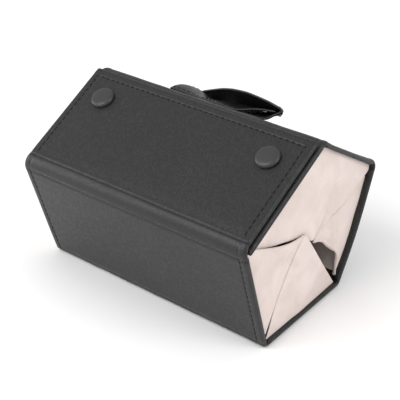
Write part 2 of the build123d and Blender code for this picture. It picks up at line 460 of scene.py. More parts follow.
def make_slab(name: str, outer: np.ndarray, inner: np.ndarray, finish: Finish, *place) -> bpy.types.Object:
    """A closed slab between two grids of points.

    Args:
        name: of the piece.
        outer: rows x columns x 3, in millimetres.
        inner: the same, for the other side.
        finish: its finish.
        place: as for make_mesh.

    Returns:
        The linked object.
    """
    outer, inner = np.asarray(outer), np.asarray(inner)
    rows, columns = outer.shape[:2]
    points = np.vstack([outer.reshape(-1, 3), inner.reshape(-1, 3)])
    below = rows * columns
    faces = []
    for i in range(rows - 1):
        for j in range(columns - 1):
            a, b = i * columns + j, i * columns + j + 1
            c, d = b + columns, a + columns
            faces.append([a, b, c, d])
            faces.append([below + d, below + c, below + b, below + a])
    rim = [(i, 0) for i in range(rows)] + [(rows - 1, j) for j in range(1, columns)]
    rim += [(i, columns - 1) for i in range(rows - 2, -1, -1)]
    rim += [(0, j) for j in range(columns - 2, 0, -1)]
    for (i, j), (k, l) in zip(rim, rim[1:] + rim[:1]):
        a, b = i * columns + j, k * columns + l
        faces.append([a, below + a, below + b, b])
    return make_mesh(name, points, faces, finish, *place)


# ---- the section of the box


@dataclass
class Section:
    """Where the hinge axes and runs of the cover are in the YZ plane, read from the frame."""

    corners: dict[str, np.ndarray] = field(default_factory=dict)
    half_length: float = 0.0
    flap_half_length: float = 0.0
    joints: dict[str, np.ndarray] = field(default_factory=dict)

    @staticmethod
    def middle(node: str) -> np.ndarray:
        """Middle of a node's box in the YZ plane, in millimetres."""
        low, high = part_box(node)
        return np.array([(low.y + high.y) / 2, (low.z + high.z) / 2]) / MM

    @classmethod
    def from_frame(cls) -> "Section":
        """Works the section out from joints and from the middles of the symmetric panels."""
        made = cls()
        for joint in frame["joints"]:
            made.joints[joint["name"]] = np.array(joint["pos_m"]) / MM
        e, f = made.joints["front_hinge"][1:], made.joints["flap_hinge"][1:]
        d = 2 * cls.middle("bottom_cover") - e
        b = 2 * cls.middle("back_cover") - d
        a = 2 * cls.middle("top_cover") - b
        flap_way = cls.middle("flap_cover") - f
        flap_way /= np.linalg.norm(flap_way)
        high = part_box("flap_board")[1]
        reach = (np.array([high.y, high.z]) / MM - f) @ flap_way
        made.corners = {
            "flap_tip": f + flap_way * (reach + 0.2), "F": f, "E": e, "D": d, "B": b, "A": a,
            "inner_tip": a + (cls.middle("inner_front_cover") - a) * 2,
        }
        made.half_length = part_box("bottom_cover")[1].x / MM
        made.flap_half_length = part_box("flap_cover")[1].x / MM
        return made

    def lid_way(self, name: str) -> np.ndarray:
        """Unit vector along a lid, from its axis."""
        way = self.middle(f"{name}_lid_board") - self.joints[f"{name}_lid_hinge"][1:]
        return way / np.linalg.norm(way)


# ---- the leather cover


@dataclass
class Station:
    """One place along the cover's middle line."""

    point: np.ndarray
    out: np.ndarray
    run: int                 # 0 flap, 1 front, 2 bottom, 3 back, 4 top, 5 inner front; -1 on a fold
    fold: int                # 0 at F, 1 at E, 2 at D, 3 at B, 4 at A; -1 on a run
    before: float            # distance from the start of the run
    after: float             # distance to its end
    half_length: float


@dataclass
class LeatherCover:
    """The one long leather cover: six panels and five folds, cut where it has to turn."""

    section: Section
    fold_radii: tuple = (6.0, 3.2, 3.2, 5.0, 5.5)    # of the middle line, at F E D B A
    seam_inset: float = 5.0
    flap_seam_inset: float = 6.0
    row_step: float = 3.2
    fold_rows: int = 10
    seam_width: float = 0.42
    end_reach: float = 32.0                          # the columns are close together this near an end
    lining_inset: float = 4.5                        # leather border round a lining
    board_inset: float = 1.6
    edge_steps: tuple = (
        0, 0.12, 0.35, 0.7, 1.15, 1.75, 2.6, 3.6, 4.3, 4.65, 5.0, 5.35, 5.7, 6.5, 8.5, 12, 17, 24,
    )
    flap_steps: tuple = (
        0, 0.12, 0.35, 0.7, 1.15, 1.75, 2.6, 3.6, 4.8, 5.3, 5.65, 6.0, 6.35, 6.7, 7.6, 9.5, 12.5,
    )

    def __post_init__(self) -> None:
        """Lays the stations out along the cover."""
        names = ["flap_tip", "F", "E", "D", "B", "A", "inner_tip"]
        corners = [self.section.corners[n] for n in names]
        ways = [(q - p) / np.linalg.norm(q - p) for p, q in zip(corners, corners[1:])]
        turns = [math.radians((angle_of(w) - angle_of(v)) % 360) for v, w in zip(ways, ways[1:])]
        cuts = [0.0] + [r * math.tan(t / 2) for r, t in zip(self.fold_radii, turns)] + [0.0]
        self.stations: list[Station] = []
        for run, (start, end, way) in enumerate(zip(corners, corners[1:], ways)):
            width = np.linalg.norm(end - start) - cuts[run] - cuts[run + 1]
            for along in self.stops(run, width):
                point = start + way * (cuts[run] + along)
                length = self.section.flap_half_length if run == 0 else self.section.half_length
                self.stations.append(Station(point, right_of(way), run, -1, along, width - along, length))
            if run < 5:
                self.add_fold(run, end - way * cuts[run + 1], way, turns[run])
        self.place_surfaces()

    def stops(self, run: int, width: float) -> list[float]:
        """Distances of the rows along a straight run, closer together at a free edge."""
        middle = list(np.arange(self.row_step, width - 1.0, self.row_step))
        if run == 0:
            return list(self.flap_steps) + [m for m in middle if m > self.flap_steps[-1] + 1] + [width]
        if run == 5:
            tail = [width - s for s in reversed(self.flap_steps[:8])]
            return [0.0] + [m for m in middle if m < tail[0] - 1] + tail
        return [0.0] + middle + [width]

    def add_fold(self, fold: int, start: np.ndarray, way: np.ndarray, turn: float) -> None:
        """Rows round one fold, between the runs on both sides of it."""
        out = right_of(way)
        radius = self.fold_radii[fold]
        centre = start - out * radius
        for k in range(1, self.fold_rows):
            share = k / self.fold_rows
            spun = heading(angle_of(out) + math.degrees(turn) * share)
            length = self.section.half_length
            if fold == 0:
                length = self.section.flap_half_length * (1 - share) + length * share
            self.stations.append(Station(centre + spun * radius, spun, -1, fold, FAR, FAR, length))

    def columns(self, half_length: float) -> tuple[np.ndarray, np.ndarray]:
        """X of the columns of a row, and how far each is from the nearer end."""
        reach = half_length - self.end_reach
        x = spaced(np.array(self.edge_steps), half_length, np.linspace(-reach, reach, 15))
        return x, half_length - np.abs(x)

    def relief(self, s: Station, x: np.ndarray, end: np.ndarray) -> np.ndarray:
        """Height of the outer leather over a flat panel: turned edge, seam groove and soft waves.

        Args:
            s: the row.
            x: of its columns.
            end: distance of the columns from the end.

        Returns:
            Heights in millimetres.
        """
        high = 0.16 * ridge(end, 2.9, 1.3) - 0.34 * ridge(end, self.seam_inset, self.seam_width)
        high = high + 0.10 * np.sin(x / 19 + 1.7 * s.run) * np.sin(s.before / 14 + 0.9 * s.run)
        high = high + 0.05 * np.sin(x / 7.3 + s.before / 9.1 + s.run)
        if s.run < 0:
            return high * 0.6 + 0.06 * np.sin(x / 4.1 + s.fold)
        near = min(s.before if s.run > 0 else FAR, s.after if s.run < 5 else FAR)
        pressed, padded = 0.32 * ridge(near, 1.4, 1.1), 0.30 * (1 - math.exp(-near / 12))
        high = high - pressed + padded * (1 - np.exp(-end / 14))
        if s.run == 0:
            groove = 0.3 * ridge(s.before, self.flap_seam_inset, self.seam_width)
            high = high - groove * (end > 4.6) + 0.12 * ridge(s.before, 3.2, 1.6)
        if s.run == 4:
            high = high - 0.8 * (1 - ridge(near, 0.0, 5.0))
        return high

    @staticmethod
    def bow(s: Station) -> float:
        """How far the back panel, bent by use, stands out of its plane at a row."""
        if s.run == 3:
            share = s.before / (s.before + s.after)
            return 2.5 * math.sin(math.pi * share) ** 1.1 * (1.15 - 0.45 * share)
        return 0.0

    def place_surfaces(self) -> None:
        """Works out the outer and inner surface of every row."""
        rows = []
        for s in self.stations:
            x, end = self.columns(s.half_length)
            free = 1.0
            if s.run == 0:
                free = float(rounding(s.before, HALF_PANEL))
            if s.run == 5:
                free = float(rounding(s.after, HALF_PANEL))
            edge = rounding(end, HALF_PANEL) * free
            middle = (end > 7) & (s.run >= 0) & (min(s.before, s.after) > 4)
            inside = np.where(middle, HALF_PANEL - 0.5, HALF_PANEL if s.run >= 0 else 0.7)
            top = edge * (HALF_PANEL + self.relief(s, x, end)) + self.bow(s)
            low = self.bow(s) - edge * inside
            rows.append((s.point, s.out, x, top, low))
        point, out, x, top, low = (np.array(part) for part in zip(*rows))
        self.outer, self.inner = raised(point, out, x, top), raised(point, out, x, low)

    def rows(self, runs: tuple, folds: tuple) -> list[int]:
        """Numbers of the rows on some runs and folds, with the rows that border a lone fold."""
        picked = [i for i, s in enumerate(self.stations) if s.run in runs or s.fold in folds]
        if not runs:
            picked = [picked[0] - 1] + picked + [picked[-1] + 1]
        return picked

    def piece(self, name: str, runs: tuple, folds: tuple, finish: Finish, nodes: tuple) -> bpy.types.Object:
        """One leather piece, cut from the cover.

        Args:
            name: of the piece.
            runs: numbers of its runs.
            folds: numbers of its folds.
            finish: its leather.
            nodes: CAD nodes that it stands for.

        Returns:
            The piece, on no body yet.
        """
        picked = self.rows(runs, folds)
        return make_slab(name, self.outer[picked], self.inner[picked], finish, "", nodes)

    def slab(self, run: int, levels: tuple, inset: float, *piece) -> bpy.types.Object:
        """A flat layer that follows one panel, such as its lining or a bent board.

        Args:
            run: number of the panel.
            levels: heights of its outer and inner face from the cover's middle.
            inset: from the panel's ends and edges.
            piece: its name, finish, body and CAD nodes.

        Returns:
            The piece.
        """
        steps = np.array([0, 0.1, 0.3, 0.6, 1.2, 3.0])
        panel = [s for s in self.stations if s.run == run]
        half = panel[0].half_length - inset
        x = spaced(steps, half, np.linspace(-EVEN_REACH, EVEN_REACH, 25))
        width = panel[0].before + panel[0].after
        middle = np.linspace(inset + 5, width - inset - 5, 16)
        stops = np.concatenate([inset + steps, middle, (width - inset - steps)[::-1]])
        way = (panel[-1].point - panel[0].point) / (panel[-1].before - panel[0].before)
        place = panel[0].point + way * (stops - panel[0].before)[:, None]
        out, t = panel[0].out, stops[:, None]
        bow = [self.bow(Station(p, out, run, -1, a, width - a, half)) for p, a in zip(place, stops)]
        level = np.array(bow)[:, None] + sum(levels) / 2
        edge = rounding(half - np.abs(x), 0.6) * rounding(np.minimum(t, width - t) - inset, 0.6)
        thick = (levels[0] - levels[1]) / 2 * edge
        nap = 0.03 * np.sin(x / 9 + t / 5 + run) * np.sin(t / 7) * edge
        outer = raised(place, out, x, level + thick)
        inner = raised(place, out, x, level - thick + nap)
        name, *rest = piece
        return make_slab(name, outer, inner, *rest)

    def line_panels(self) -> None:
        """Cloth linings inside a leather border, and the bent boards of the back and the top."""
        names = ["flap", "front", "bottom", "back", "top", "inner_front"]
        for run, name in enumerate(names):
            what = (f"{name}_lining_cloth", Finish.CLOTH, name if run < 2 else "case", (f"{name}_lining",))
            self.slab(run, (-1.3, -1.85), self.lining_inset, *what)
        for run, top in ((3, 0.85), (4, 0.3)):
            name = f"{names[run]}_board"
            self.slab(run, (top, -1.15), self.board_inset, f"{name}_bent", Finish.BOARD, "case", (name,))

    def build(self) -> None:
        """All leather pieces of the cover: the panels on their bodies, the two fold pieces baked in place on no
        body.
        """
        pebbled, smooth = Finish.LEATHER, Finish.SMOOTH_LEATHER
        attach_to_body(self.piece("flap_leather", (0,), (), pebbled, ("flap_cover",)), "flap")
        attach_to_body(self.piece("front_leather", (1,), (), smooth, ("front_cover",)), "front")
        nodes = ("bottom_cover", "back_cover", "top_cover", "inner_front_cover")
        nodes += ("fold_bottom_back", "fold_top_back", "fold_top_front")
        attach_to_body(self.piece("case_leather", (2, 3, 4, 5), (2, 3, 4), pebbled, nodes), "case")
        joints = ((0, "front", "flap", "fold_flap"), (1, "case", "front", "fold_bottom_front"))
        for fold, start, end, node in joints:
            made = self.piece(f"{end}_fold_leather", (), (fold,), smooth, (node,))
            picked = self.rows((), (fold,))
            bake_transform(made)
        self.line_panels()

    def seam_lines(self) -> dict[str, list[np.ndarray]]:
        """The lines that the edge seams follow on the outer leather, by body."""
        column = self.edge_steps.index(self.seam_inset)
        lines: dict[str, list[np.ndarray]] = {"flap": [], "front": [], "case": []}
        bodies = {0: "flap", 1: "front", 2: "case", 3: "case", 4: "case", 5: "case"}
        for run, body in bodies.items():
            picked = [i for i in self.rows((run,), ()) if self.stations[i].after > 2 or run == 5]
            if run == 0:
                picked = [i for i in picked if self.stations[i].before >= self.flap_seam_inset]
            else:
                picked = [i for i in picked if self.stations[i].before > 2]
            if run == 5:
                picked = [i for i in picked if self.stations[i].after > 6]
            for j in (column, -1 - column):
                lines[body].append(self.outer[picked, j])
        row = next(i for i, s in enumerate(self.stations) if s.before == self.flap_seam_inset)
        lines["flap"].append(self.outer[row, column:-column])
        return lines


# ---- seams


@dataclass
class Seamstress:
    """Sews straight stitches along lines, with one Geometry Nodes tree for every seam."""

    pitch: float = 4.0
    length: float = 2.9
    thread: float = 0.42     # radius

    def tree(self) -> bpy.types.NodeTree:
        """Line in, stitches out, with pitch, stitch length and thread radius as named inputs."""
        tree = bpy.data.node_groups.new("straight_seam", "GeometryNodeTree")
        face = tree.interface
        face.new_socket("Geometry", in_out="INPUT", socket_type="NodeSocketGeometry")
        for name in ("Pitch", "Stitch Length", "Thread Radius"):
            face.new_socket(name, in_out="INPUT", socket_type="NodeSocketFloat")
        face.new_socket("Thread", in_out="INPUT", socket_type="NodeSocketMaterial")
        face.new_socket("Geometry", in_out="OUTPUT", socket_type="NodeSocketGeometry")

        def node(kind: str, settings: dict | None = None, **inputs) -> Socket:
            """The first output of a new node."""
            return add_node(tree, kind, settings, inputs).outputs[0]

        given = add_node(tree, "NodeGroupInput").outputs
        length, radius = given["Stitch Length"], given["Thread Radius"]
        line = node("GeometryNodeMeshToCurve", Mesh=given["Geometry"])
        spots = node("GeometryNodeResampleCurve", {"mode": "LENGTH"}, Curve=line, Length=given["Pitch"])
        ball = node("GeometryNodeMeshUVSphere", Segments=8, Rings=6, Radius=1.0)
        half = add_node(tree, "ShaderNodeMath", {"operation": "MULTIPLY"}, {0: length, 1: 0.5})
        size = node("ShaderNodeCombineXYZ", X=half.outputs[0], Y=radius, Z=radius)
        bead = node("GeometryNodeTransform", Geometry=ball, Scale=size)
        way = node("GeometryNodeInputTangent")
        turn = node("FunctionNodeAlignRotationToVector", {"axis": "X"}, Vector=way)
        sewn = node("GeometryNodeInstanceOnPoints", Points=spots, Instance=bead, Rotation=turn)
        real = node("GeometryNodeRealizeInstances", Geometry=sewn)
        smooth = node("GeometryNodeSetShadeSmooth", Geometry=real)
        dressed = node("GeometryNodeSetMaterial", Geometry=smooth, Material=given["Thread"])
        add_node(tree, "NodeGroupOutput", inputs={"Geometry": dressed})
        return tree

    def sew(self, name: str, lines: list[np.ndarray], body: str = "") -> bpy.types.Object:
        """Stitches along lines, as one plain mesh.

        Args:
            name: of the seam.
            lines: points in millimetres, one line an array.
            body: that the seam rides on, if it is one body.

        Returns:
            The seam.
        """
        points, edges = [], []
        for line in lines:
            edges += [(len(points) + k, len(points) + k + 1) for k in range(len(line) - 1)]
            points += (np.asarray(line) * MM).tolist()
        mesh = bpy.data.meshes.new(name + "_line")
        mesh.from_pydata(points, edges, [])
        guide = bpy.data.objects.new(name + "_line", mesh)
        bpy.context.scene.collection.objects.link(guide)
        tree = bpy.data.node_groups.get("straight_seam") or self.tree()
        modifier = guide.modifiers.new("seam", "NODES")
        modifier.node_group = tree
        values = {
            "Pitch": self.pitch * MM, "Stitch Length": self.length * MM,
            "Thread Radius": self.thread * MM, "Thread": material_of(Finish.THREAD),
        }
        for item in tree.interface.items_tree:
            if item.in_out == "INPUT" and item.name in values:
                modifier[item.identifier] = values[item.name]
        bpy.context.view_layer.update()
        evaluated = guide.evaluated_get(bpy.context.evaluated_depsgraph_get())
        made = bpy.data.objects.new(name, bpy.data.meshes.new_from_object(evaluated))
        bpy.context.scene.collection.objects.link(made)
        bpy.data.objects.remove(guide)
        return attach(made, Finish.THREAD, body)


# ---- compartments


@dataclass
class Lid:
    """A divider: greyboard wrapped in cloth, on a soft hinge at its floor."""

    section: Section
    name: str
    half_thickness: float = 1.5
    puff: float = 0.12               # how uneven the cloth lies
    seam_inset: float = 4.0
    # inset and half thickness of the dark backing, which is painted shade
    shade_backing_inset: float = 2.0
    shade_backing_half_thickness: float = 0.3

    def build(self) -> None:
        """The wrapped lid and its dark back, a sheet of painted shade, on their own body."""
        axis = self.section.joints[f"{self.name}_lid_hinge"][1:]
        way = self.section.lid_way(self.name)
        out = right_of(way)
        reach = np.linalg.norm(self.section.middle(f"{self.name}_lid_board") - axis)
        width = 2 * reach - self.half_thickness + 0.5
        half_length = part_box(f"{self.name}_lid_cloth")[1].x / MM
        steps = np.array([0, 0.1, 0.3, 0.6, 1.0, 1.5, 2.4, 3.4, 4.0, 4.6, 6, 9])
        whole = width + self.half_thickness
        spread = np.concatenate([steps, np.linspace(12, whole - 12, 12), (whole - steps)[::-1]])
        x = spaced(steps, half_length, np.linspace(-EVEN_REACH, EVEN_REACH, 23))
        t, thick = spread[:, None], self.half_thickness
        to_end, place = np.minimum(t, whole - t), axis + way * (t - thick)
        edge = rounding(half_length - np.abs(x), thick) * rounding(to_end, thick)
        wave = self.puff * np.sin(x / 11 + t / 8) * np.sin(t / 6 + x / 29) * 0.5
        seam = -0.2 * ridge(to_end, self.seam_inset, 0.5)
        outer = raised(place, out, x, edge * (thick + wave * edge + seam))
        inner = raised(place, out, x, -(edge * (thick - wave)))
        lid = f"{self.name}_lid"
        make_slab(f"{lid}_wrap", outer, inner, Finish.CLOTH, lid, (f"{lid}_cloth",))
        self.back(axis, way, out, width, half_length)

    def back(
        self, axis: np.ndarray, way: np.ndarray, out: np.ndarray, width: float, half_length: float
    ) -> None:
        """Dark leather that backs the lid, on the side away from its compartment: a sheet of painted shade that
        darkens the inside of the compartments.

        Args:
            axis: the lid's axis in the YZ plane.
            way: along the lid.
            out: across it, away from the compartment.
            width: of the lid.
            half_length: of the lid.
        """
        steps = np.array([0, 0.1, 0.25, 0.5, 1.5])
        first, last = self.half_thickness, width - self.shade_backing_inset
        spread = np.concatenate([first + steps, np.linspace(5, width - 5, 8), (last - steps)[::-1]])
        half = half_length - self.shade_backing_inset
        x = spaced(steps, half, np.linspace(-EVEN_REACH, EVEN_REACH, 15))
        t = spread[:, None]
        edge = rounding(half - np.abs(x), 0.4) * rounding(np.minimum(t - first, last - t), 0.4)
        outer, inner = (
            raised(axis + way * t, out, x, self.half_thickness + sign * self.shade_backing_half_thickness * edge)
            for sign in (1, -1)
        )
        # dark leather sheet as painted shade for the inside of the compartments
        make_slab(f"{self.name}_lid_back", outer, inner, Finish.SMOOTH_LEATHER, f"{self.name}_lid")


@dataclass
class Gusset:
    """A cloth triangle at one end of a compartment, sewn to its floor and to its lid."""

    name: str                # of the compartment
    floor_body: str
    floor: tuple             # foot at the lid's side, foot at the open side
    lid_edge: list           # from near the first foot to the tip
    open_edge: list          # from near the second foot to the tip
    depth: float             # distance of the floor seam from the case's middle
    tip_depth: float         # the same at the tip
    bulge: float = 0.5       # how far the cloth swells outwards
    tuck: float = 0.0        # the lid's edge dips in this far, under the next gusset
    floor_bow: float = 0.0   # the floor seam follows a panel bowed this far
    creases: tuple = ()      # (share across, width, height) of soft folds to the tip
    roll: float = 0.3        # extra radius of the rolled hem on the open edge
    lumps: float = 0.0       # how uneven that roll is
    thickness: float = 0.8
    blend_lean: float = 40.0         # lean of a blend between bodies, in degrees; no blend is made
    columns: tuple = (
        0, 0.008, 0.02, 0.04, 0.07, 0.87, 0.9, 0.92, 0.935, 0.95, 0.962, 0.973, 0.983, 0.991, 0.997, 1,
    )
    rows: tuple = (0, 0.01, 0.025, 0.05, 0.95, 0.975, 0.99, 1)

    def corners(self) -> tuple[np.ndarray, np.ndarray, np.ndarray]:
        """The two feet and the tip, in the YZ plane."""
        return tuple(np.array(corner, float) for corner in (*self.floor, self.lid_edge[-1]))

    def patch(self) -> tuple[np.ndarray, np.ndarray, np.ndarray]:
        """The cloth's outline filled in.

        Returns:
            Points in the YZ plane, and their shares across and up the triangle.
        """
        across = np.concatenate([self.columns[:5], np.linspace(0.1, 0.84, 20), self.columns[5:]])
        up = np.concatenate([self.rows[:4], np.linspace(0.08, 0.92, 26), self.rows[4:]])
        first, last, _ = self.corners()
        left = smooth_path([self.floor[0], *self.lid_edge], PATH_STEPS)
        right = smooth_path([self.floor[1], *self.open_edge], PATH_STEPS)
        away = right_of(last - first)
        away = away / np.linalg.norm(away)
        away = away if away @ (first - left[-1]) > 0 else -away
        a, b = np.meshgrid(across, up)
        share, rise = a[..., None], b[..., None]
        spots = up * (PATH_STEPS - 1)
        left_side, right_side = (
            np.stack([np.interp(spots, range(PATH_STEPS), side[:, k]) for k in (0, 1)], axis=-1)[:, None]
            for side in (left, right)
        )
        floor = first * (1 - share) + last * share
        low = floor + away * self.floor_bow * np.sin(np.pi * share)
        high = left[-1] * (1 - share) + right[-1] * share
        grid = (1 - share) * left_side + share * right_side + (1 - rise) * low + rise * high
        return grid - ((1 - rise) * floor + rise * high), a, b

    def build(self, side: int) -> bpy.types.Object:
        """The gusset at one end.

        Args:
            side: 1 for the right end, -1 for the left one.

        Returns:
            The piece, baked in place on no body.
        """
        grid, a, b = self.patch()
        y, z = grid[..., 0], grid[..., 1]
        swell = np.sin(np.pi * a) ** 0.8 * np.sin(np.pi * np.clip(b * 0.94 + 0.03, 0, 1)) ** 0.7
        x = self.depth + (self.tip_depth - self.depth) * b**0.8 + self.bulge * swell
        x = x - self.tuck * (1 - a) ** 6 * np.sin(np.pi * np.clip(b, 0, 1)) ** 0.3
        for share, wide, high in self.creases:
            x = x + high * np.exp(-(((a - share) / wide) ** 2)) * np.sin(np.pi * b) ** 0.6
        pull = np.sin(np.pi * a) * np.sin(np.pi * b)
        x = x + 0.15 * pull * np.sin(0.33 * y + 0.21 * z + 2.0 * side)
        x = x + 0.09 * pull * np.sin(0.55 * z - 0.3 * y)
        span = np.maximum(np.linalg.norm(grid[:, -1] - grid[:, 0], axis=1), 3.0)[:, None]
        to_open, to_lid = (1 - a) * span, a * span
        to_ends = np.minimum(b, 1 - b) * np.linalg.norm(grid[-1].mean(0) - grid[0].mean(0))
        hem = self.roll * (1 + self.lumps * np.sin(b * 23 + side)) * ridge(to_open, 1.0, 0.8)
        edge = rounding(to_open, 1.0) * rounding(to_lid, 0.5) * rounding(to_ends, 0.5)
        half = edge * (self.thickness / 2 + hem)
        stitched = half - 0.16 * edge * ridge(to_open, 3.2, 0.35)
        outer = np.stack([side * (x + stitched), y, z], axis=-1)
        inner = np.stack([side * (x - half), y, z], axis=-1)
        node = f"{self.name}_gusset_{'right' if side > 0 else 'left'}"
        made = make_slab(f"{node}_cloth", outer, inner, Finish.CLOTH, "", (node,))
        first, last, tip = self.corners()
        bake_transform(made)
        return made


@dataclass
class Compartments:
    """The five wedges: their lids and gussets."""

    section: Section

    def gussets(self) -> list[Gusset]:
        """The gussets, with their feet and edges in the YZ plane."""
        return [
            Gusset(
                "front", "front", ((-38.0, 4.0), (-57.6, 74.0)),
                [(-26.7, 23.5), (-20.0, 34.9), (-13.0, 44.9), (-7.5, 51.3), (-2.2, 57.0)],
                [(-54.5, 74.1), (-36.9, 66.4), (-24.9, 61.6), (-14.0, 58.5), (-2.0, 57.2)],
                80.4, 80.9, 0.6, tuck=0.35, creases=((0.3, 0.12, 0.3), (0.6, 0.1, -0.15)),
            ),
            Gusset(
                "bottom", "case", ((36.4, 3.2), (-37.8, 3.2)),
                [(35.2, 5.4), (21.9, 24.7), (10.6, 41.4), (2.1, 53.7), (-1.6, 57.4)],
                [(-35.5, 5.0), (-27.5, 23.9), (-20.6, 34.9), (-13.6, 44.9), (-7.9, 51.3), (-2.0, 57.8)],
                80.5, 81.3, 0.6, creases=((0.5, 0.16, 0.35), (0.75, 0.1, -0.15)), roll=0.12,
            ),
            Gusset(
                "inner_front", "case", ((-55.4, 73.3), (9.1, 107.6)),
                [(-50.8, 71.0), (-34.4, 64.6), (-22.3, 61.0), (-11.4, 58.1), (-1.0, 54.0), (10.0, 46.4)],
                [(18.0, 101.0), (25.0, 89.0), (30.5, 74.0), (29.0, 63.0), (21.0, 54.0), (11.6, 46.6)],
                78.4, 79.0, 0.9, creases=((0.35, 0.12, 0.3), (0.62, 0.1, -0.2)), roll=0.0,
            ),
            Gusset(
                "top", "case", ((12.2, 108.6), (71.0, 71.5)),
                [(13.0, 105.0), (18.6, 92.2), (23.2, 80.0), (24.0, 67.2), (21.8, 58.0), (15.4, 50.6),
                 (10.9, 45.8)],
                [(70.2, 67.8), (65.4, 65.6), (58.6, 62.8), (43.5, 56.9), (26.6, 54.0), (18.8, 49.4),
                 (11.0, 45.1)],
                79.6, 80.2, 0.6, tuck=1.4, creases=((0.4, 0.14, 0.3), (0.75, 0.12, -0.2)), roll=0.2,
            ),
            Gusset(
                "back", "case", ((70.8, 68.8), (38.8, 3.9)),
                [(68.4, 64.6), (65.4, 63.4), (58.6, 60.4), (43.5, 54.4), (26.6, 51.6), (18.8, 47.2),
                 (12.4, 44.4)],
                [(39.6, 7.2), (40.0, 13.1), (40.8, 18.4), (39.4, 23.0), (32.8, 28.8), (27.6, 33.7),
                 (22.7, 38.8), (17.4, 41.7), (12.2, 43.6)],
                79.0, 78.4, 0.4, floor_bow=2.0, creases=((0.4, 0.13, -0.5), (0.72, 0.1, 0.6)),
                roll=0.85, lumps=0.3,
            ),
        ]

    def build(self) -> None:
        """Every soft piece of the compartments."""
        for name in ("front", "bottom", "back", "top", "inner_front"):
            Lid(self.section, name).build()
        for gusset in self.gussets():
            for side in (1, -1):
                gusset.build(side)


# ---- snaps


@dataclass
class SnapCaps:
    """The two lacquered caps on the flap, turned from one profile."""

    section: Section
    profile: tuple = (               # radius and height over the leather, from the crown to the foot
        (0.0, 3.0), (2.4, 2.98), (4.6, 2.88), (5.9, 2.7), (6.6, 2.46), (7.05, 2.1), (7.35, 1.6),
        (7.5, 1.1), (7.42, 0.6), (7.15, 0.2), (6.9, -0.12), (0.0, -0.12),
    )
    segments: int = 56

    def build(self) -> None:
        """Both caps as one piece on the flap."""
        node = frame["nodes"]["snap_caps"]
        spots = np.array([v.co for v in node.data.vertices]) / MM
        hinge = self.section.corners["F"]
        way = Section.middle("flap_cover") - hinge
        way /= np.linalg.norm(way)
        out = right_of(-way)
        points, faces = [], []
        for side in (-1, 1):
            own = spots[spots[:, 0] * side > 0]
            x = (own[:, 0].min() + own[:, 0].max()) / 2
            along = (own[:, 1:] - hinge) @ way
            base = hinge + way * (along.min() + along.max()) / 2 + out * HALF_PANEL
            start = len(points)
            for radius, high in self.profile:
                for k in range(self.segments):
                    turn = 2 * math.pi * k / self.segments
                    place = base + way * (radius * math.sin(turn)) + out * (high + 0.1)
                    points.append([x + radius * math.cos(turn), *place])
            for i in range(len(self.profile) - 1):
                for k in range(self.segments):
                    n = (k + 1) % self.segments
                    a, b = start + i * self.segments, start + (i + 1) * self.segments
                    faces.append([a + k, a + n, b + n, b + k])
        make_mesh("snap_cap_shells", np.array(points), faces, Finish.CAP, "flap", ("snap_caps",))


# ---- strap


